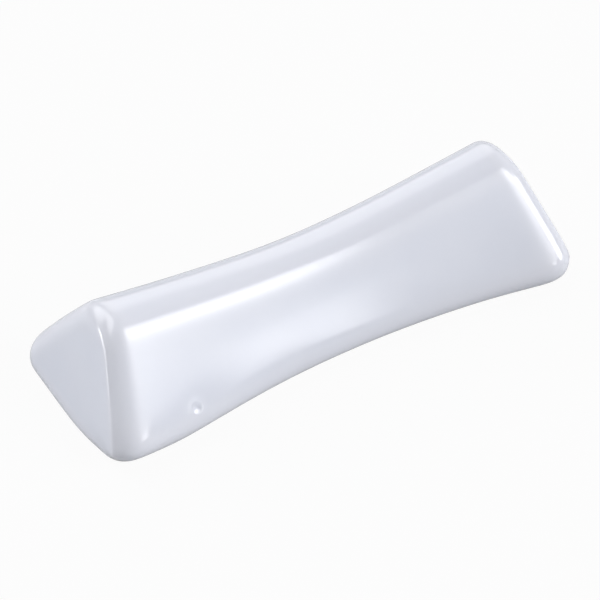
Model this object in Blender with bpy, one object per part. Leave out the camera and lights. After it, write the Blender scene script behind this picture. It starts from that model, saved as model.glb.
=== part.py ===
"""Chopstick rest: a waisted, three-edged bar of porcelain under a coat of glaze.

The bar lies along X with its ridge up, on a flat bare foot in the plane z = 0.
The origin is in the middle of the foot. All sizes are in metres.
"""
import math

import bmesh
import bpy
from mathutils import Vector

# Driving dimensions of the glazed surface
LENGTH = 0.0600             # over the rounded ends
WIDTH = 0.0218              # over the shoulders, before their corners are rubbed
WAIST_WIDTH = 0.0155        # across the middle
HEIGHT = 0.0144             # ridge where the end rounding starts
WAIST_HEIGHT = 0.0121       # ridge at the middle, where the chopsticks lie
EDGE_RADIUS = 0.0025        # the two long edges beside the foot
RIDGE_RADIUS = 0.0045       # the long edge on top
FLANK_BELLY = 0.00012       # the flanks bulge by this much between those edges
END_CORNER_RADIUS = 0.0003  # left at the corners of each flat end face
END_LEAN = math.radians(19.0)  # end faces lean inwards from the vertical
LEAD_IN = 0.0034            # the front flank bends more and more over this way to an end,
LEAD_TURN = math.radians(48.0)  # until it has turned by this angle,
RIM_RADIUS = 0.0006         # and a crisp rim turns the rest
WIDEST_FROM_END = 0.0020    # shoulder's widest point, from the end plane
SHOULDER_FROM_END = 0.0045  # where the hollow waist turns into the shoulder
DIP_ROUNDING = 0.0095       # larger makes the dip in the ridge gentler
SOFT_CORNER_DEPTH = 0.0025  # the front left corner of the foot is rubbed most by hand
SOFT_CORNER_REACH = 0.0044  # how far that rubbing spreads along the foot
SOFT_CORNER_TURN = math.radians(60.0)  # its direction, from X towards Y
KEEN_CORNER_DEPTH = 0.0001  # the back left corner is hardly rubbed
KEEN_CORNER_REACH = 0.0030
RIGHT_CORNER_DEPTH = 0.0010 # the two right corners are rubbed alike
RIGHT_CORNER_REACH = 0.0020
CORNER_RISE = 0.0020        # how far the rubbing spreads upwards

# Glaze and bare foot
GLAZE_THICKNESS = 0.00025
GLAZE_CLEARANCE = 0.00025   # between the coat and the clay
FOOT_JOIN = 0.00005         # foot's overlap with the core above it

# Fineness of the facets
LENGTH_STEPS = 24
LEAD_STEPS = 4
RIM_STEPS = 2
END_STEPS = LEAD_STEPS + RIM_STEPS
EDGE_STEPS = 7
RIDGE_STEPS = 6
FLANK_STEPS = 3
FOOT_STEPS = 2

# Sizes that follow
END_ROUNDING = EDGE_RADIUS - END_CORNER_RADIUS
END_SLOPE = math.tan(END_LEAN)
END_PLANE = LENGTH / 2 + END_ROUNDING * (1 + END_SLOPE - math.hypot(1, END_SLOPE))
END_ROUND_START = END_PLANE - END_ROUNDING
WIDEST = END_PLANE - WIDEST_FROM_END
SHOULDER = END_PLANE - SHOULDER_FROM_END
CORE_INSET = GLAZE_THICKNESS + GLAZE_CLEARANCE
FOOT_HEIGHT = CORE_INSET + FOOT_JOIN
GLAZE_LINE = FOOT_HEIGHT + GLAZE_CLEARANCE


def half_width(x):
    """A hollow parabola at the waist that runs smoothly into a rounded one at the shoulder."""
    x = abs(x)
    swell = (WIDTH - WAIST_WIDTH) / 2
    if x < SHOULDER:
        return WAIST_WIDTH / 2 + swell * x ** 2 / (SHOULDER * WIDEST)
    return WIDTH / 2 - swell * (x - WIDEST) ** 2 / (WIDEST * (WIDEST - SHOULDER))


def ridge_height(x):
    """A hyperbola: two straight slopes that meet in a rounded dip at the middle."""
    full_rise = math.hypot(END_ROUND_START, DIP_ROUNDING) - DIP_ROUNDING
    rise = math.hypot(x, DIP_ROUNDING) - DIP_ROUNDING
    return WAIST_HEIGHT + (HEIGHT - WAIST_HEIGHT) * rise / full_rise


def arc(center, radius, start, end, steps):
    """Points from angle start to angle end about a center (y, z)."""
    angles = [start + (end - start) * i / steps for i in range(steps + 1)]
    return [(center[0] + radius * math.cos(a), center[1] + radius * math.sin(a)) for a in angles]


def between(a, b, steps, belly=0.0):
    """Points that divide the line from a to b, without its ends, bulging outwards by the belly."""
    across, up = b[0] - a[0], b[1] - a[1]
    length = math.hypot(across, up)
    shares = [i / steps for i in range(1, steps)]
    bulges = [4 * belly * share * (1 - share) / length for share in shares]
    return [(a[0] + across * share + up * bulge, a[1] + up * share - across * bulge)
            for share, bulge in zip(shares, bulges)]


def section(x, inset):
    """Outline across the bar at x: a belt round two edge discs and a ridge disc, shrunk by inset."""
    edge = (half_width(x) - EDGE_RADIUS, EDGE_RADIUS)
    ridge = (0.0, ridge_height(x) - RIDGE_RADIUS)
    across, down = edge[0] - ridge[0], edge[1] - ridge[1]
    turn = math.acos((RIDGE_RADIUS - EDGE_RADIUS) / math.hypot(across, down))
    flank = math.atan2(down, across) + turn  # direction that the flank faces
    right = arc(edge, EDGE_RADIUS - inset, -math.pi / 2, flank, EDGE_STEPS)
    top = arc(ridge, RIDGE_RADIUS - inset, flank, math.pi - flank, RIDGE_STEPS)
    left = [(-y, z) for y, z in reversed(right)]
    outline = right + between(right[-1], top[0], FLANK_STEPS, FLANK_BELLY)
    outline += top + between(top[-1], left[0], FLANK_STEPS, FLANK_BELLY)
    return outline + left + between(left[-1], right[0], FOOT_STEPS)


def front_share():
    """For each point of a section, how much it takes part in the rimmed ends of the front flank."""
    def ramp(t):
        t = min(max(t, 0.0), 1.0)
        return t * t * (3 - 2 * t)
    ridge = [ramp((i / RIDGE_STEPS - 0.45) / 0.55) for i in range(RIDGE_STEPS + 1)]
    edge = [1 - ramp(2 * i / EDGE_STEPS) for i in range(EDGE_STEPS + 1)]
    back = [0.0] * (EDGE_STEPS + FLANK_STEPS)
    return back + ridge + [1.0] * (FLANK_STEPS - 1) + edge + [0.0] * (FOOT_STEPS - 1)


def round_end(inset):
    """Pairs of a place along X and the section's depth there: a quarter circle to the end plane."""
    radius = END_ROUNDING - inset
    turns = [math.pi / 2 * i / END_STEPS for i in range(END_STEPS + 1)]
    return [(END_ROUND_START + radius * math.sin(turn), END_ROUNDING - radius * math.cos(turn))
            for turn in turns]


def rimmed_end(inset):
    """The same for the front flank: a bend that grows along its way, then the tight arc of the rim."""
    def lead(way):
        turn = LEAD_TURN * way ** 2
        return (LEAD_IN * (way - LEAD_TURN ** 2 * way ** 5 / 10) - inset * math.sin(turn),
                LEAD_IN * (LEAD_TURN * way ** 3 / 3 - LEAD_TURN ** 3 * way ** 7 / 42)
                + inset * math.cos(turn))
    bend = [lead(i / LEAD_STEPS) for i in range(LEAD_STEPS + 1)]
    radius = RIM_RADIUS - inset
    center = (bend[-1][0] - radius * math.sin(LEAD_TURN), bend[-1][1] + radius * math.cos(LEAD_TURN))
    rest = math.pi / 2 - LEAD_TURN
    turns = [LEAD_TURN + rest * i / RIM_STEPS for i in range(1, RIM_STEPS + 1)]
    rim = [(center[0] + radius * math.sin(turn), center[1] - radius * math.cos(turn)) for turn in turns]
    start = END_PLANE - inset - rim[-1][0]
    return [(start + x, depth) for x, depth in bend + rim]


def stations(end):
    """All places along X with their depths, from one end plane to the other."""
    start, inset = end[0]
    straight = [(start * (2 * i / LENGTH_STEPS - 1), inset) for i in range(1, LENGTH_STEPS)]
    return [(-x, depth) for x, depth in reversed(end)] + straight + end


def edge_loop(bm, round_station, rimmed_station):
    """One closed loop of edges round the bar; the lean grows with the distance from the middle."""
    def points(x, depth):
        lean = END_SLOPE * x / END_PLANE
        return [Vector((x - lean * z, y, z)) for y, z in section(x, depth)]
    both = zip(points(*round_station), points(*rimmed_station), front_share())
    verts = [bm.verts.new(plain.lerp(rimmed, share)) for plain, rimmed, share in both]
    return [bm.edges.new((a, b)) for a, b in zip(verts, verts[1:] + verts[:1])]


def shape_corners(bm):
    """Presses each corner of the foot inwards, by a bell curve of the distance from it."""
    diagonal = math.radians(45)
    corners = ((-1, -1, SOFT_CORNER_DEPTH, SOFT_CORNER_REACH, SOFT_CORNER_TURN),
               (-1, 1, KEEN_CORNER_DEPTH, KEEN_CORNER_REACH, diagonal),
               (1, -1, RIGHT_CORNER_DEPTH, RIGHT_CORNER_REACH, diagonal),
               (1, 1, RIGHT_CORNER_DEPTH, RIGHT_CORNER_REACH, diagonal))
    for vert in bm.verts:
        push = Vector()
        for end, side, depth, reach, turn in corners:
            away = vert.co - Vector((end * LENGTH / 2, side * WIDTH / 2, 0))
            bell = math.exp(-((away.xy.length / reach) ** 2 + (away.z / CORNER_RISE) ** 2) / 2)
            push -= depth * bell * Vector((end * math.cos(turn), side * math.sin(turn), 0))
        vert.co += push


def link(name, mesh):
    obj = bpy.data.objects.new(name, mesh)
    bpy.context.scene.collection.objects.link(obj)
    return obj


def bar(name, inset):
    """The whole bar, with its surface everywhere at a depth of inset under the glazed one."""
    bm = bmesh.new()
    loops = [edge_loop(bm, *pair) for pair in zip(stations(round_end(inset)),
                                                  stations(rimmed_end(inset)))]
    for near, far in zip(loops, loops[1:]):
        bmesh.ops.bridge_loops(bm, edges=near + far)
    for end in (loops[0], loops[-1]):
        cap = bmesh.ops.contextual_create(bm, geom=end)["faces"]
        bmesh.ops.poke(bm, faces=cap)
    shape_corners(bm)
    bmesh.ops.recalc_face_normals(bm, faces=bm.faces)
    mesh = bpy.data.meshes.new(name)
    bm.to_mesh(mesh)
    bm.free()
    mesh.shade_smooth()
    return link(name, mesh)


def slab(name, top):
    """A block that holds everything of the bar below the height top."""
    bm = bmesh.new()
    bmesh.ops.create_cube(bm, size=1.0)
    depth = HEIGHT
    bmesh.ops.scale(bm, verts=bm.verts, vec=(2 * LENGTH, 2 * WIDTH, depth))
    bmesh.ops.translate(bm, verts=bm.verts, vec=(0, 0, top - depth / 2))
    mesh = bpy.data.meshes.new(name)
    bm.to_mesh(mesh)
    bm.free()
    return guide(link(name, mesh))


def guide(obj):
    """Marks a shape that only cuts or joins another one."""
    obj.hide_render = True
    obj.display_type = 'WIRE'
    return obj


def combine(obj, operation, other):
    modifier = obj.modifiers.new(f"{operation} {other.name}", 'BOOLEAN')
    modifier.operation = operation
    modifier.object = other


def finish(obj, color, roughness):
    """Gives the piece its own Principled material."""
    material = bpy.data.materials.new(obj.name)
    material.use_nodes = True
    shader = material.node_tree.nodes['Principled BSDF']
    shader.inputs['Base Color'].default_value = (*color, 1.0)
    shader.inputs['Roughness'].default_value = roughness
    obj.data.materials.append(material)


def porcelain_body():
    """Fired clay: a core inside the glaze, on a foot as wide as the glazed surface round it."""
    foot = guide(bar("foot", 0.0))
    combine(foot, 'INTERSECT', slab("below_foot_top", FOOT_HEIGHT))
    body = bar("porcelain_body", CORE_INSET)
    combine(body, 'UNION', foot)
    finish(body, (0.84, 0.82, 0.78), 0.6)


def glaze_coat():
    """Glassy skin over the core: everything outside it and above the glaze line."""
    coat = bar("glaze_coat", 0.0)
    combine(coat, 'DIFFERENCE', guide(bar("inside_of_glaze", GLAZE_THICKNESS)))
    combine(coat, 'DIFFERENCE', slab("below_glaze_line", GLAZE_LINE))
    finish(coat, (0.86, 0.87, 0.91), 0.08)


for old in list(bpy.data.objects):
    bpy.data.objects.remove(old)
porcelain_body()
glaze_coat()
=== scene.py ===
# %% [markdown]
# # A porcelain chopstick rest
# The object is a small bar that keeps the tips of chopsticks off the table. Seen from above it
# is waisted, seen from the end it is a rounded triangle, and its ridge dips in the middle so
# that the sticks don't roll off. It is one piece of fired clay under a glassy white glaze.
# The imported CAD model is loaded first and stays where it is: everything made below lies on it.

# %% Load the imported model
import math

import bmesh
import bpy
import numpy as np
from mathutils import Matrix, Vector


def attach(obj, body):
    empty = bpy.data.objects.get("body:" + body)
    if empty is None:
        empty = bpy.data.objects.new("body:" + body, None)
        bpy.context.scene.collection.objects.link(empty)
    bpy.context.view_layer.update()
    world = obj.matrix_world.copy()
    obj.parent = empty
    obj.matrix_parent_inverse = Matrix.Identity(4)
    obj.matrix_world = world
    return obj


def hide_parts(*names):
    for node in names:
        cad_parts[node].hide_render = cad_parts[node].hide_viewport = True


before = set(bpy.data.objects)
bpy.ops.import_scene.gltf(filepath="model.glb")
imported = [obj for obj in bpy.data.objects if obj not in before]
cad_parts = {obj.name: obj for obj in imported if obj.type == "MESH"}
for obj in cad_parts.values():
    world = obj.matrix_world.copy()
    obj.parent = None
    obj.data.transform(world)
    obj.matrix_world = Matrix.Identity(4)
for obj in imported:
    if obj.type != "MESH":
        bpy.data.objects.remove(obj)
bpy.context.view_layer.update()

# %% [markdown]
# ## The form of the bar
# A maker would press or slip-cast this form and then rub its edges soft. In Blender it could be
# a cube with loop cuts and a Subdivision Surface, but then nobody could say how wide its waist
# is. Here each view of the bar is a short formula, and the surface follows from them, so that
# every size can be read and changed. All sizes are in metres.
#
# The ends come first. Each is a flat face that leans inwards, with a rounded border that turns
# into the long sides. The end plane is where that face would cut the table.

# %% Ends
LENGTH = 0.0600
EDGE_RADIUS = 0.0025          # long edges beside the foot
END_CORNER_RADIUS = 0.0003    # what is left of that radius in the outline of an end face
END_LEAN = math.radians(19)

END_ROUNDING = EDGE_RADIUS - END_CORNER_RADIUS
END_SLOPE = math.tan(END_LEAN)
END_PLANE = LENGTH / 2 + END_ROUNDING * (1 + END_SLOPE - math.hypot(1, END_SLOPE))
END_ROUND_START = END_PLANE - END_ROUNDING
print(f"the end rounding starts {1000 * END_ROUND_START:.2f} mm from the middle")

# %% [markdown]
# Seen from above, each long side is hollow nearly to its end. Two parabolas that share a tangent
# where they meet are enough for that. Seen from the side, the ridge is a hyperbola: two nearly
# straight slopes with a rounded dip between them.

# %% Waist and ridge
WIDTH = 0.0218
WAIST_WIDTH = 0.0155
WIDEST = END_PLANE - 0.0020
SHOULDER = END_PLANE - 0.0045  # where the hollow side starts to turn full
HEIGHT = 0.0144
WAIST_HEIGHT = 0.0121
DIP_ROUNDING = 0.0095


def half_width(x):
    """Waist plus a square of x; past the shoulder, widest minus a square of the way to the widest."""
    x, swell = np.abs(x), (WIDTH - WAIST_WIDTH) / 2
    hollow = WAIST_WIDTH / 2 + swell * x ** 2 / (SHOULDER * WIDEST)
    full = WIDTH / 2 - swell * (x - WIDEST) ** 2 / (WIDEST * (WIDEST - SHOULDER))
    return np.where(x < SHOULDER, hollow, full)


def ridge_height(x):
    """A hyperbola through the dip, scaled to reach the full height where the end rounding starts."""
    rise = np.hypot(x, DIP_ROUNDING) - DIP_ROUNDING
    full_rise = math.hypot(END_ROUND_START, DIP_ROUNDING) - DIP_ROUNDING
    return WAIST_HEIGHT + (HEIGHT - WAIST_HEIGHT) * rise / full_rise


print(f"waist {2000 * half_width(0.0):.1f} mm wide, {1000 * ridge_height(0.0):.1f} mm high")

# %% [markdown]
# Cut across, the bar is the shape of a belt stretched round three discs: a small one in each
# lower edge and a larger one in the ridge. A Bezier curve could be bent to the same shape, but a
# belt of arcs and lines keeps its radii. Each stretch of the belt gets its own number of points
# and leaves out its last one, because that is the first point of the next stretch.

# %% Stretches of the belt
STRETCHES = (0.0058, 0.0084, 0.0088, 0.0080)  # rough lengths of lower edge, flank, ridge and foot
CLAY_STEP = 0.0005            # distance between neighbouring points of the clay


def ring_steps(step):
    """How many points each stretch gets at this spacing."""
    return [round(length / step) for length in STRETCHES]


def spread(start, end, steps):
    """Numbers from start towards end, without the end, one row for each pair."""
    share = np.arange(steps) / steps
    return start[:, None] + (end - start)[:, None] * share


def arc(y, z, radius, start, end, steps):
    """Centre plus radius times cosine and sine, from one angle towards another, one row for each x."""
    turn = spread(start, end, steps)
    return y[:, None] + radius[:, None] * np.cos(turn), z[:, None] + radius[:, None] * np.sin(turn)


print("points on lower edge, flank, ridge and foot of the clay", ring_steps(CLAY_STEP))

# %% [markdown]
# The belt is flat at the foot and bellies out a tenth of a millimetre on the flanks, enough to
# bend a reflection. The disc in the ridge grows a little towards the ends, so that a streak of
# light along the ridge spreads there. Smaller discs about the same centres give the same shape, a
# little way inside, which is how the clay under the glaze and the rounding of the ends are made.

# %% Section
RIDGE_RADIUS = 0.0044         # in the middle,
RIDGE_SPREAD = 0.0005         # and this much more at the ends
FLANK_BELLY = 0.00012


def section(x, depth, step):
    """Points (y, z) of the belt round the three discs at each x, with the discs smaller by depth."""
    edge_y, edge_z = half_width(x) - EDGE_RADIUS, np.full_like(x, EDGE_RADIUS)
    ridge_radius = RIDGE_RADIUS + RIDGE_SPREAD * (x / END_PLANE) ** 2
    ridge_y, ridge_z = np.zeros_like(x), ridge_height(x) - ridge_radius
    apart = np.hypot(edge_y, edge_z - ridge_z)
    flank = np.arctan2(edge_z - ridge_z, edge_y) + np.arccos((ridge_radius - EDGE_RADIUS) / apart)
    far_flank, down = math.pi - flank, np.full_like(x, -math.pi / 2)
    edge_radius, ridge_radius = EDGE_RADIUS - depth, ridge_radius - depth
    edge_steps, flank_steps, ridge_steps, foot_steps = ring_steps(step)

    edge = arc(edge_y, edge_z, edge_radius, down, flank, edge_steps)
    ridge = arc(ridge_y, ridge_z, ridge_radius, flank, far_flank, ridge_steps)
    far_edge = arc(-edge_y, edge_z, edge_radius, far_flank, down + 2 * math.pi, edge_steps)
    foot = spread(-edge_y, edge_y, foot_steps), spread(depth, depth, foot_steps)

    lean_y, lean_z = np.cos(flank), np.sin(flank)
    low_y, low_z = edge_y + edge_radius * lean_y, edge_z + edge_radius * lean_z
    high_y, high_z = ridge_radius * lean_y, ridge_z + ridge_radius * lean_z
    share = np.arange(flank_steps) / flank_steps
    belly = 4 * FLANK_BELLY * share * (1 - share)
    belly_y, belly_z = belly * lean_y[:, None], belly * lean_z[:, None]
    rise = spread(low_y, high_y, flank_steps) + belly_y, spread(low_z, high_z, flank_steps) + belly_z
    fall = spread(-high_y, -low_y, flank_steps) - belly_y, spread(high_z, low_z, flank_steps) + belly_z
    return [np.concatenate(parts, axis=1) for parts in zip(edge, rise, ridge, fall, far_edge, foot)]


middle = section(np.array([0.0]), np.array([0.0]), CLAY_STEP)
print(f"{middle[0].size} points round the waist of the clay")

# %% [markdown]
# The borders of the end faces aren't alike all round. The front flank bends slowly, more and
# more, and then breaks over a crisp rim; everywhere else the border is a plain quarter circle.
# Both are lists of a turn, a place along the bar and a depth of the section, row by row, so that
# one can fade into the other round the bar. A bevel on an edge could only give the quarter circle.

# %% Rims
LEAD_IN = 0.0034              # the front flank starts to turn this far before the rim,
LEAD_TURN = math.radians(48)  # until it has turned by this angle,
RIM_RADIUS = 0.0006           # and a crisp rim turns the rest
RIM_FADES = 0.45              # share of the ridge's arc, from the back, that the rim doesn't reach
BORDER_LENGTH = 0.0045        # rough way round a border,
RIM_LENGTH = 0.0015           # of which the rim has this much


def round_end(step):
    """Turn, place along X and depth of the section on a quarter circle, up to the end plane."""
    turn = np.linspace(0, math.pi / 2, round(BORDER_LENGTH / step) + 1)
    return turn, END_ROUND_START + END_ROUNDING * np.sin(turn), END_ROUNDING * (1 - np.cos(turn))


def rimmed_end(step):
    """The same on a curve whose turn grows as the square of the way, and then on the arc of the rim.

    Place and depth on that curve are the integrals of the turn's cosine and sine, each as the first
    two terms of its power series.
    """
    rim_rows = round(RIM_LENGTH / step)
    way = np.linspace(0, 1, round(BORDER_LENGTH / step) - rim_rows + 1)
    x = LEAD_IN * (way - LEAD_TURN ** 2 * way ** 5 / 10)
    depth = LEAD_IN * (LEAD_TURN * way ** 3 / 3 - LEAD_TURN ** 3 * way ** 7 / 42)
    rim_turn = np.linspace(LEAD_TURN, math.pi / 2, rim_rows + 1)[1:]
    rim_x = x[-1] + RIM_RADIUS * (np.sin(rim_turn) - math.sin(LEAD_TURN))
    rim_depth = depth[-1] + RIM_RADIUS * (math.cos(LEAD_TURN) - np.cos(rim_turn))
    turn, x = np.append(LEAD_TURN * way ** 2, rim_turn), np.append(x, rim_x)
    return turn, END_PLANE - x[-1] + x, np.append(depth, rim_depth)


def front_share(step):
    """1 on the front flank, fading out over the ridge and over the upper half of the lower edge."""
    edge, flank, ridge, foot = ring_steps(step)
    over_ridge = np.clip((np.arange(ridge) / ridge - RIM_FADES) / (1 - RIM_FADES), 0, 1)
    over_edge = np.clip(1 - 2 * np.arange(edge) / edge, 0, 1)
    share = np.concatenate([np.zeros(edge + flank), over_ridge, np.ones(flank), over_edge,
                            np.zeros(foot)])
    return (share ** 2 * (3 - 2 * share))[:, None]


flank_start = rimmed_end(CLAY_STEP)[1][0]
print(f"the front flank starts to turn {1000 * (END_PLANE - flank_start):.2f} mm before the end plane")

# %% [markdown]
# Sections along the bar make its surface. The face of each end is closed with smaller and
# smaller copies of its outline, and the whole end is sheared so that it leans inwards.

# %% Surface
MIDDLE_LENGTH = 0.055         # rough length of the bar between the borders of its ends
FACE_REACH = 0.0091           # rough way from the border of an end face to its middle


def rows_along(end, inset, step):
    """Sections from end to end, the inset inside the surface, sheared so that both end faces lean."""
    turn, end_x, end_depth = end
    end_x, end_depth = end_x - inset * np.sin(turn), end_depth + inset * np.cos(turn)
    straight = np.linspace(-end_x[0], end_x[0], round(MIDDLE_LENGTH / step) + 1)[1:-1]
    x = np.concatenate([-end_x[::-1], straight, end_x])
    depth = np.concatenate([end_depth[::-1], np.full_like(straight, inset), end_depth])
    y, z = section(x, depth, step)
    return np.stack([x[:, None] * (1 - END_SLOPE / END_PLANE * z), y, z], axis=-1)


def bar_surface(inset, step):
    """Rows of points from end to end, (row, around, xyz), with the rows of both end faces."""
    share = front_share(step)
    rows = ((1 - share) * rows_along(round_end(step), inset, step)
            + share * rows_along(rimmed_end(step), inset, step))
    shrink = np.linspace(0, 1, round(FACE_REACH / step) + 1)[1:-1, None, None]
    near_middle, far_middle = rows[0].mean(axis=0), rows[-1].mean(axis=0)
    near_face = near_middle + shrink * (rows[0] - near_middle)
    far_face = far_middle + shrink[::-1] * (rows[-1] - far_middle)
    return np.concatenate([near_face, rows, far_face])


GLAZE_STEP = 0.00027          # distance between neighbouring points of the glaze
glazed = bar_surface(0.0, GLAZE_STEP)
print("rows and points around", glazed.shape[:2])

# %% [markdown]
# ## Traces of the hand
# The corners of the foot are rubbed round before the glaze goes on, and not all alike: the front
# left one has lost the most, and the back left one stands out a little, by a negative depth. Each
# is a bell-shaped push that fades along the foot and upwards. A sculpt brush would do the same,
# but it couldn't be read or repeated.

# %% Foot corners
CORNER_RISE = 0.0020          # how far the rubbing spreads upwards
CORNERS = {  # side along X and Y: depth, direction in degrees from X to Y, spread along the foot
    (-1, -1): (0.0025, 60, 0.0044),
    (-1, 1): (-0.0003, 62, 0.0014),
    (1, -1): (0.0010, 45, 0.0020),
    (1, 1): (0.0010, 45, 0.0020),
}


def rub_corners(points):
    """Pushes each corner of the foot inwards, by a bell curve of the distance from it."""
    push = np.zeros_like(points)
    for (along, across), (depth, direction, reach) in CORNERS.items():
        corner = np.array([along * LENGTH / 2, across * WIDTH / 2, 0])
        away = (points - corner) / np.array([reach, reach, CORNER_RISE])
        bell = np.exp(-(away ** 2).sum(axis=-1, keepdims=True) / 2)
        turn = math.radians(direction)
        push -= depth * bell * np.array([along * math.cos(turn), across * math.sin(turn), 0])
    return points + push


glazed = rub_corners(glazed)
print("width with rubbed corners", np.round(1000 * np.ptp(glazed[..., 1]), 2), "mm")

# %% [markdown]
# Melted glaze evens out every change of curvature, and a glossy reflection shows the smallest of
# them. So the points are averaged with their neighbours, mostly round the bar and less along it,
# where the rims stay crisp. Averaging draws the edges in a little, and that loss is given back.

# %% Flow of the glaze
GLAZE_ROUNDS = (18, 7)        # rounds of averaging, around and along


def flow(points, rounds_around, rounds_along):
    """Each point becomes a quarter of each neighbour and half of itself, first around, then along."""
    for _ in range(rounds_around):
        points = (np.roll(points, 1, axis=1) + 2 * points + np.roll(points, -1, axis=1)) / 4
    for _ in range(rounds_along):
        inner = (points[:-2] + 2 * points[1:-1] + points[2:]) / 4
        points = np.concatenate([points[:1], inner, points[-1:]])
    return points


def outward(points):
    """Unit normals: the cross product of the steps around and along the surface."""
    around = np.roll(points, -1, axis=1) - np.roll(points, 1, axis=1)
    along = np.gradient(points, axis=0)
    normal = np.cross(around, along)
    return normal / np.maximum(np.linalg.norm(normal, axis=-1, keepdims=True), 1e-12)


settled = flow(glazed, *GLAZE_ROUNDS)
loss = ((glazed - settled) * outward(settled)).sum(axis=-1, keepdims=True)
glazed = settled + flow(loss, *GLAZE_ROUNDS) * outward(settled)
print("height after the flow", np.round(1000 * glazed[..., 2].max(), 2), "mm")

# %% [markdown]
# Two small faults make the surface a real one. The glaze stands in very low, long waves, a few
# thousandths of a millimetre high, that make reflections swim. And on the front flank a gas
# bubble burst in the kiln and left a pit with a low rim.

# %% Waves and pit
WAVE_COUNT = 7
WAVE_HEIGHT = 0.000006
WAVE_LENGTHS = (0.006, 0.014)
PIT_PLACE = (-0.0190, -0.0087, 0.0044)
PIT_RADIUS = 0.00037
PIT_DEPTH = 0.00019


def waves(points):
    """Sum of plane waves with drawn directions, lengths and phases, one row of numbers per wave."""
    draw = np.random.default_rng(4)
    heading = draw.normal(size=(WAVE_COUNT, 3))
    heading /= np.linalg.norm(heading, axis=1, keepdims=True)
    pace = 2 * math.pi / draw.uniform(*WAVE_LENGTHS, size=WAVE_COUNT)
    phase = draw.uniform(0, 2 * math.pi, size=WAVE_COUNT)
    return np.cos(points @ (heading * pace[:, None]).T + phase).sum(axis=-1, keepdims=True)


def pit(points):
    """A hollow that turns up into a low rim: (q - 1) e^-q, with q half the squared distance in radii."""
    q = ((points - np.array(PIT_PLACE)) ** 2).sum(axis=-1, keepdims=True) / (2 * PIT_RADIUS ** 2)
    return (q - 1) * np.exp(-q)


relief = WAVE_HEIGHT * waves(glazed) + PIT_DEPTH * pit(glazed)
glazed = glazed + relief * outward(glazed)
print("deepest and highest relief in mm", np.round(1000 * np.array([relief.min(), relief.max()]), 3))

# %% [markdown]
# Glaze pulls back from edges and gathers in hollows. How far a point stands out from the average
# of its wider surroundings tells where it is thin. The number is kept on the mesh, and the
# material reads it to make edges warmer.

# %% Where the glaze is thin
WIDE_ROUNDS = (60, 60)        # rounds of averaging that reach well past an edge
THINNEST_AT = 0.00035         # glaze that stands out this far is at its thinnest

stands_out = ((glazed - flow(glazed, *WIDE_ROUNDS)) * outward(glazed)).sum(axis=-1)
thinness = np.clip(stands_out / THINNEST_AT, 0, 1)
print("mean thinness", thinness.mean().round(3))

# %% [markdown]
# ## The two pieces
# Both pieces are rows of points, closed at each end by a fan of triangles about a middle point.
# Numbering the points as a grid gives every face at once, with no loop over them.

# %% Mesh from rows
def closed_mesh(name, points):
    """Four-sided faces between neighbouring rows, and a fan of triangles over the hole at each end."""
    rows, around = points.shape[:2]
    here = np.arange(rows * around).reshape(rows, around)
    beside = np.roll(here, -1, axis=1)
    quads = np.stack([here[:-1], beside[:-1], beside[1:], here[1:]], axis=-1).reshape(-1, 4)
    near_pole, far_pole = np.full(around, here.size), np.full(around, here.size + 1)
    fans = np.concatenate([np.stack([near_pole, beside[0], here[0]], axis=-1),
                           np.stack([far_pole, here[-1], beside[-1]], axis=-1)])
    poles = np.stack([points[0].mean(axis=0), points[-1].mean(axis=0)])
    mesh = bpy.data.meshes.new(name)
    mesh.from_pydata(np.concatenate([points.reshape(-1, 3), poles]).tolist(), [],
                     quads.tolist() + fans.tolist())
    return mesh


def add_piece(mesh):
    """An object at the origin with this mesh, shaded smooth."""
    mesh.shade_smooth()
    piece = bpy.data.objects.new(mesh.name, mesh)
    bpy.context.scene.collection.objects.link(piece)
    return piece


print("faces of the whole surface", (glazed.shape[0] - 1) * glazed.shape[1])

# %% [markdown]
# The glaze is wiped off the foot so that the piece doesn't stick to the kiln shelf. The surface
# is therefore cut just above the table, and a Solidify modifier gives it the thickness of glaze.

# %% Glaze skin
GLAZE_LINE = 0.0006
GLAZE_THICKNESS = 0.00025

skin_mesh = closed_mesh("glaze_skin", glazed)
thin_glaze = skin_mesh.attributes.new("thin_glaze", 'FLOAT', 'POINT')
pole_values = [0, 0]
thin_glaze.data.foreach_set("value", np.append(thinness, pole_values).astype(np.float32))

bm = bmesh.new()
bm.from_mesh(skin_mesh)
bmesh.ops.bisect_plane(bm, geom=bm.verts[:] + bm.edges[:] + bm.faces[:], dist=1e-7,
                       plane_co=(0, 0, GLAZE_LINE), plane_no=(0, 0, 1), clear_inner=True)
bm.to_mesh(skin_mesh)
bm.free()

glaze_skin = add_piece(skin_mesh)
wall = glaze_skin.modifiers.new("glaze wall", 'SOLIDIFY')
wall.thickness = GLAZE_THICKNESS
wall.offset = -1
print("glaze skin", len(skin_mesh.polygons), "faces on its outside")

# %% [markdown]
# The clay inside is the same form, set in by a little more than the thickness of the glaze. Its
# lower edge is stretched down to the table, where the foot is flat and shows as a thin matt line.

# %% Porcelain body
CLAY_INSET = 0.00028
CLAY_ROUNDS = (5, 2)

cast = rub_corners(bar_surface(CLAY_INSET, CLAY_STEP))
clay = flow(cast, *CLAY_ROUNDS)
height = np.clip((cast[..., 2] - cast[..., 2].min()) / EDGE_RADIUS, 0, 1)
clay[..., 2] *= height * (2 - height)
porcelain_body = add_piece(closed_mesh("porcelain_foot", clay))
print("porcelain body", len(porcelain_body.data.polygons), "faces")

# %% [markdown]
# Each drawn piece rides on the only body of the model and hides the plain CAD node that it stands for.

# %% Ride and replace
for piece, node, slot in ((glaze_skin, "glaze_coat", "white_glaze"),
                          (porcelain_body, "porcelain_body", "bare_porcelain")):
    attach(piece, "root")
    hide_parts(node)
    print(piece.name, "stands for", node)

# %% [markdown]
# ## Finishes
# Materials are trees of nodes. They could be wired by hand in the Shader Editor; small helpers
# do the same in a script, and each later line then reads as one node with what goes into it.

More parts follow.
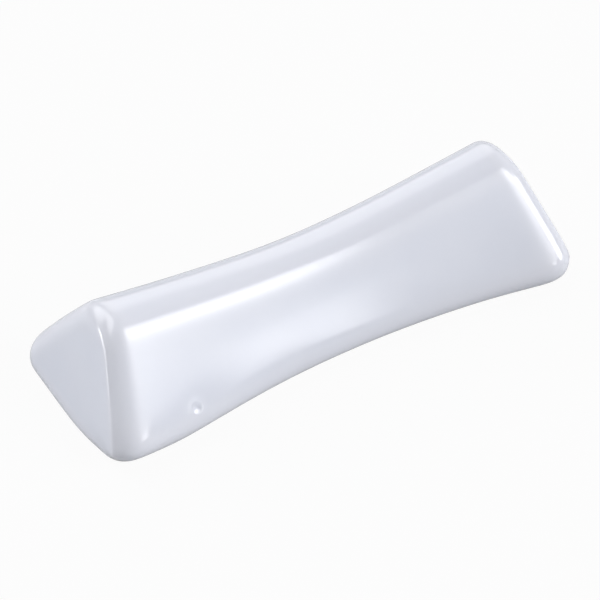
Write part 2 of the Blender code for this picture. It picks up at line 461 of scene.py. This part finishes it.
# %% Node helpers
def feed(tree, node, inputs):
    """An input that is given a socket is linked to it; any other value is set."""
    for name, value in inputs.items():
        if isinstance(value, bpy.types.NodeSocket):
            tree.links.new(value, node.inputs[name])
        else:
            node.inputs[name].default_value = value


def add_node(tree, kind, inputs=None, **settings):
    """A shader node of this kind, with its settings and inputs."""
    node = tree.nodes.new("ShaderNode" + kind)
    for name, value in settings.items():
        setattr(node, name, value)
    feed(tree, node, inputs or {})
    return node


def new_group(name, inputs, outputs):
    """An empty node group with named sockets, and the sockets of its two end nodes."""
    group = bpy.data.node_groups.new(name, 'ShaderNodeTree')
    for socket, kind in inputs.items():
        group.interface.new_socket(socket, in_out='INPUT', socket_type='NodeSocket' + kind)
    for socket in outputs:
        group.interface.new_socket(socket, in_out='OUTPUT', socket_type='NodeSocketFloat')
    ends = group.nodes.new('NodeGroupInput'), group.nodes.new('NodeGroupOutput')
    return group, ends[0].outputs, ends[1].inputs


print("helpers", feed.__name__, add_node.__name__, new_group.__name__)

# %% [markdown]
# Two effects of the kiln are on clay and glaze alike, so each is a node group that both materials
# use with values of their own. Firing leaves a surface slightly uneven: broad, faint clouds and a
# fine grain. Two Noise textures give both.

# %% Uneven firing
uneven_firing, given, result = new_group(
    "uneven_firing", {"Place": 'Vector', "Cloud Scale": 'Float', "Grain Scale": 'Float'},
    ("Cloud", "Grain"))
clouds = add_node(uneven_firing, 'TexNoise',
                  {'Vector': given["Place"], 'Scale': given["Cloud Scale"], 'Detail': 2.0})
grain = add_node(uneven_firing, 'TexNoise',
                 {'Vector': given["Place"], 'Scale': given["Grain Scale"], 'Detail': 4.0})
uneven_firing.links.new(clouds.outputs[0], result["Cloud"])
uneven_firing.links.new(grain.outputs[0], result["Grain"])
print("group", uneven_firing.name, [socket.name for socket in result if socket.name])

# %% [markdown]
# Specks of iron in the clay burn to tiny dark points, more of them where nothing covers them. A
# Voronoi texture scatters cells; a few cells, chosen by their random colour, get a dot.

# %% Iron specks
iron_specks, given, result = new_group(
    "iron_specks", {"Place": 'Vector', "Scale": 'Float', "Share": 'Float', "Size": 'Float'},
    ("Speck",))
cells = add_node(iron_specks, 'TexVoronoi', {'Vector': given["Place"], 'Scale': given["Scale"]})
drawn = add_node(iron_specks, 'SeparateColor', {0: cells.outputs['Color']})
chosen = add_node(iron_specks, 'Math', {0: drawn.outputs[0], 1: given["Share"]}, operation='LESS_THAN')
dot = add_node(iron_specks, 'MapRange', {'Value': cells.outputs['Distance'], 'From Min': 0.0,
                                         'From Max': given["Size"], 'To Min': 1.0, 'To Max': 0.0},
               interpolation_type='SMOOTHSTEP')
both = add_node(iron_specks, 'Math', {0: chosen.outputs[0], 1: dot.outputs[0]}, operation='MULTIPLY')
iron_specks.links.new(both.outputs[0], result["Speck"])
print("group", iron_specks.name, [socket.name for socket in result if socket.name])

# %% [markdown]
# Both materials start alike: a Principled shader, patterns that sit on the piece by its Object
# coordinates, and colours mixed by what the groups put out.

# %% Material helpers
NOISE_LOW, NOISE_HIGH = 0.3, 0.7  # most values of a Noise texture lie between these


def new_material(name):
    """A material with its tree, its Principled shader and the place on the piece."""
    material = bpy.data.materials.new(name)
    material.use_nodes = True
    tree = material.node_tree
    place = add_node(tree, 'TexCoord').outputs['Object']
    return material, tree, tree.nodes['Principled BSDF'], place


def use_group(tree, group, inputs):
    """The outputs of a node group that is placed in this tree."""
    node = tree.nodes.new('ShaderNodeGroup')
    node.node_tree = group
    feed(tree, node, inputs)
    return node.outputs


def blend(tree, share, first, second):
    """A colour between two, each a socket or a plain colour."""
    colors = [color if isinstance(color, bpy.types.NodeSocket) else (*color, 1)
              for color in (first, second)]
    mix = add_node(tree, 'Mix', {0: share, 6: colors[0], 7: colors[1]}, data_type='RGBA')
    return mix.outputs[2]


def between(tree, noise, low, high):
    """A number that runs from low to high while the noise runs over most of its values."""
    ramp = add_node(tree, 'MapRange', {'Value': noise, 'From Min': NOISE_LOW, 'From Max': NOISE_HIGH,
                                       'To Min': low, 'To Max': high})
    return ramp.outputs['Result']


print("noise is read from", NOISE_LOW, "to", NOISE_HIGH)

# %% [markdown]
# The glaze is a cool white glass. Where it lies thick it is bluish, where it is thin the warmer
# clay shows through. Its gloss comes from the Principled shader's own Fresnel reflection, so the
# shader only needs a low roughness and the refractive index of a hard glaze.

# %% White glaze
THICK_GLAZE = (0.735, 0.763, 0.858)
CLOUDED_GLAZE = (0.762, 0.787, 0.874)
THIN_GLAZE = (0.775, 0.79, 0.865)
GLAZED_IRON = (0.40, 0.38, 0.36)
GLAZE_INDEX = 1.6

white_glaze, tree, shader, place = new_material("white_glaze")
uneven = use_group(tree, uneven_firing, {"Place": place, "Cloud Scale": 110.0, "Grain Scale": 420.0})
speck = use_group(tree, iron_specks, {"Place": place, "Scale": 330.0, "Share": 0.012, "Size": 0.05})
thin = add_node(tree, 'Attribute', attribute_name="thin_glaze").outputs['Fac']
color = blend(tree, between(tree, uneven["Cloud"], 0, 1), THICK_GLAZE, CLOUDED_GLAZE)
color = blend(tree, thin, color, THIN_GLAZE)
color = blend(tree, speck["Speck"], color, GLAZED_IRON)
ripple = add_node(tree, 'Bump', {'Height': uneven["Grain"], 'Strength': 0.02, 'Distance': 0.0002})
feed(tree, shader, {'Base Color': color, 'Roughness': between(tree, uneven["Grain"], 0.06, 0.09),
                    'Normal': ripple.outputs['Normal'], 'IOR': GLAZE_INDEX})
glaze_skin.data.materials.append(white_glaze)
print("material", white_glaze.name, len(tree.nodes), "nodes")

# %% [markdown]
# The bare foot is the fired clay itself: off-white, matt and slightly sandy, with more specks. The
# same groups serve, with a finer grain, larger dots and a stronger bump.

# %% Bare porcelain
DARKER_CLAY = (0.79, 0.765, 0.72)
LIGHTER_CLAY = (0.84, 0.82, 0.785)
BARE_IRON = (0.35, 0.29, 0.24)

bare_porcelain, tree, shader, place = new_material("bare_porcelain")
uneven = use_group(tree, uneven_firing, {"Place": place, "Cloud Scale": 160.0, "Grain Scale": 2600.0})
speck = use_group(tree, iron_specks, {"Place": place, "Scale": 700.0, "Share": 0.03, "Size": 0.12})
color = blend(tree, between(tree, uneven["Cloud"], 0, 1), DARKER_CLAY, LIGHTER_CLAY)
color = blend(tree, speck["Speck"], color, BARE_IRON)
sand = add_node(tree, 'Bump', {'Height': uneven["Grain"], 'Strength': 0.25, 'Distance': 0.0001})
feed(tree, shader, {'Base Color': color, 'Roughness': between(tree, uneven["Grain"], 0.5, 0.75),
                    'Normal': sand.outputs['Normal']})
porcelain_body.data.materials.append(bare_porcelain)
print("material", bare_porcelain.name, len(tree.nodes), "nodes")

# %% [markdown]
# ## The studio
# The piece stands on a sheet of paper. The paper is lit like everything else, but most of what the
# camera sees of it is plain white, and so is a small share of what the glaze mirrors. That gives
# a white ground without more light on the piece, and the shadow under the foot stays. The darker
# sheet in the reflections draws a thin line round the piece.

# %% Floor
FLOOR_HALF = 0.6
FLOOR_Z = -0.00002            # a hair under the foot, so that the two faces don't coincide
SEEN_WHITE = 0.95             # share of plain white that the camera sees,
MIRRORED_WHITE = 0.10         # and that reflections see
PAPER_COLOR = (0.52, 0.525, 0.535, 1)

floor_mesh = bpy.data.meshes.new("floor")
floor_corners = [(x * FLOOR_HALF, y * FLOOR_HALF, FLOOR_Z)
                 for x, y in ((-1, -1), (1, -1), (1, 1), (-1, 1))]
floor_mesh.from_pydata(floor_corners, [], [(0, 1, 2, 3)])
floor = add_piece(floor_mesh)

white_paper = bpy.data.materials.new("white_paper")
white_paper.use_nodes = True
tree = white_paper.node_tree
tree.nodes.clear()
lit = add_node(tree, 'BsdfDiffuse', {'Color': PAPER_COLOR})
white = add_node(tree, 'Emission', {'Strength': 1.0})
path = add_node(tree, 'LightPath').outputs
seen = add_node(tree, 'Math', {0: path['Is Camera Ray'], 1: path['Is Transmission Ray']},
                operation='MAXIMUM')
seen = add_node(tree, 'Math', {0: seen.outputs[0], 1: SEEN_WHITE}, operation='MULTIPLY')
share = add_node(tree, 'Math', {0: path['Is Glossy Ray'], 1: MIRRORED_WHITE, 2: seen.outputs[0]},
                 operation='MULTIPLY_ADD')
paper = add_node(tree, 'MixShader', {0: share.outputs[0], 1: lit.outputs[0], 2: white.outputs[0]})
add_node(tree, 'OutputMaterial', {0: paper.outputs[0]})
floor_mesh.materials.append(white_paper)
print("floor", 2 * FLOOR_HALF, "m square")

# %% [markdown]
# Soft boxes stand round the piece. Since they are far away compared with its size, they are drawn
# on the world: each is a window in azimuth (0 in front, 90 at the right) and elevation that fades
# in from the first angle to the second, and out from the third to the fourth.

# %% Soft boxes
SOFT_BOXES = {  # azimuths in degrees, elevations in degrees, strength
    "key": ((19, 40, 44, 61), (11, 34, 50, 62), 5.4),
    "front": ((15, 25, 28, 33), (3, 6, 8, 15), 4.1),
    "front fill": ((4, 36, 37, 62), (8, 13, 41, 48), 2.1),
    "low right": ((43, 49, 60, 71), (1, 6, 21, 28), 7.8),
    "back": ((124, 145, 164, 184), (2, 18, 50, 66), 1.5),
    "back left": ((186, 200, 222, 240), (8, 20, 46, 64), 2.7),
    "upper left": ((186, 200, 280, 300), (46, 64, 84, 96), 2.8),
    "left strip": ((229, 236, 258, 266), (-6, -2, 7, 11), 10.0),
}
FILL = 0.11                   # light from everywhere else


def within(tree, angle, span):
    """1 between the second and the third angle of the span, fading to 0 at the first and the fourth."""
    first, second, third, fourth = span
    rise = add_node(tree, 'MapRange', {'Value': angle, 'From Min': first, 'From Max': second},
                    interpolation_type='SMOOTHSTEP')
    fall = add_node(tree, 'MapRange', {'Value': angle, 'From Min': third, 'From Max': fourth,
                                       'To Min': 1.0, 'To Max': 0.0}, interpolation_type='SMOOTHSTEP')
    return add_node(tree, 'Math', {0: rise.outputs['Result'], 1: fall.outputs['Result']},
                    operation='MULTIPLY').outputs[0]


print(len(SOFT_BOXES), "soft boxes and a fill of", FILL)

# %% [markdown]
# The world turns the direction of a ray into the two angles and adds up the boxes. Area lamps
# could stand there instead, but their edges wouldn't fade. Azimuths are counted from the left of
# the front, where no box is, so that none is cut in two. The camera itself sees plain white there.

# %% World
FIRST_AZIMUTH = -60.0

studio = bpy.data.worlds.new("studio")
bpy.context.scene.world = studio
studio.use_nodes = True
tree = studio.node_tree
tree.nodes.clear()
towards = add_node(tree, 'SeparateXYZ', {0: add_node(tree, 'TexCoord').outputs['Generated']}).outputs
front = add_node(tree, 'Math', {0: towards['Y'], 1: -1.0}, operation='MULTIPLY').outputs[0]
turn = add_node(tree, 'Math', {0: towards['X'], 1: front}, operation='ARCTAN2').outputs[0]
turn = add_node(tree, 'Math', {0: turn}, operation='DEGREES').outputs[0]
turn = add_node(tree, 'Math', {0: turn, 1: FIRST_AZIMUTH + 360, 2: FIRST_AZIMUTH},
                operation='WRAP').outputs[0]
lift = add_node(tree, 'Math', {0: towards['Z']}, operation='ARCSINE').outputs[0]
lift = add_node(tree, 'Math', {0: lift}, operation='DEGREES').outputs[0]
light = FILL
for azimuths, elevations, strength in SOFT_BOXES.values():
    box = add_node(tree, 'Math', {0: within(tree, turn, azimuths), 1: within(tree, lift, elevations)},
                   operation='MULTIPLY').outputs[0]
    light = add_node(tree, 'Math', {0: box, 1: strength, 2: light}, operation='MULTIPLY_ADD').outputs[0]
ray = add_node(tree, 'LightPath').outputs
seen = add_node(tree, 'Math', {0: ray['Is Camera Ray'], 1: ray['Is Transmission Ray']},
                operation='MAXIMUM')
shown = add_node(tree, 'Mix', {0: seen.outputs[0], 2: light, 3: 1.0})
sky = add_node(tree, 'Background', {'Color': shown.outputs[0]})
add_node(tree, 'OutputWorld', {0: sky.outputs[0]})
print("world", studio.name, len(tree.nodes), "nodes")

# %% [markdown]
# The camera looks down on the piece from the front left. Its angles, distance and lens were fitted
# so that the outline of the bar falls where the photograph has it.

# %% Camera
CAMERA_AZIMUTH = math.radians(-31.60)
CAMERA_ELEVATION = math.radians(44.59)
CAMERA_TARGET = Vector((-0.00221, -0.00195, 0.0060))
CAMERA_DISTANCE = 0.2229
CAMERA_LENS = 122.1           # millimetres on Blender's 36 mm wide sensor

camera = bpy.data.objects.new("camera", bpy.data.cameras.new("camera"))
bpy.context.scene.collection.objects.link(camera)
back = Vector((math.sin(CAMERA_AZIMUTH) * math.cos(CAMERA_ELEVATION),
               -math.cos(CAMERA_AZIMUTH) * math.cos(CAMERA_ELEVATION),
               math.sin(CAMERA_ELEVATION)))
camera.location = CAMERA_TARGET + CAMERA_DISTANCE * back
camera.rotation_mode = 'QUATERNION'
camera.rotation_quaternion = (-back).to_track_quat('-Z', 'Y')
camera.data.lens = CAMERA_LENS
camera.data.clip_start = 0.01
bpy.context.scene.camera = camera
bpy.context.scene.view_settings.view_transform = 'Standard'
print("camera at", [round(value, 3) for value in camera.location])
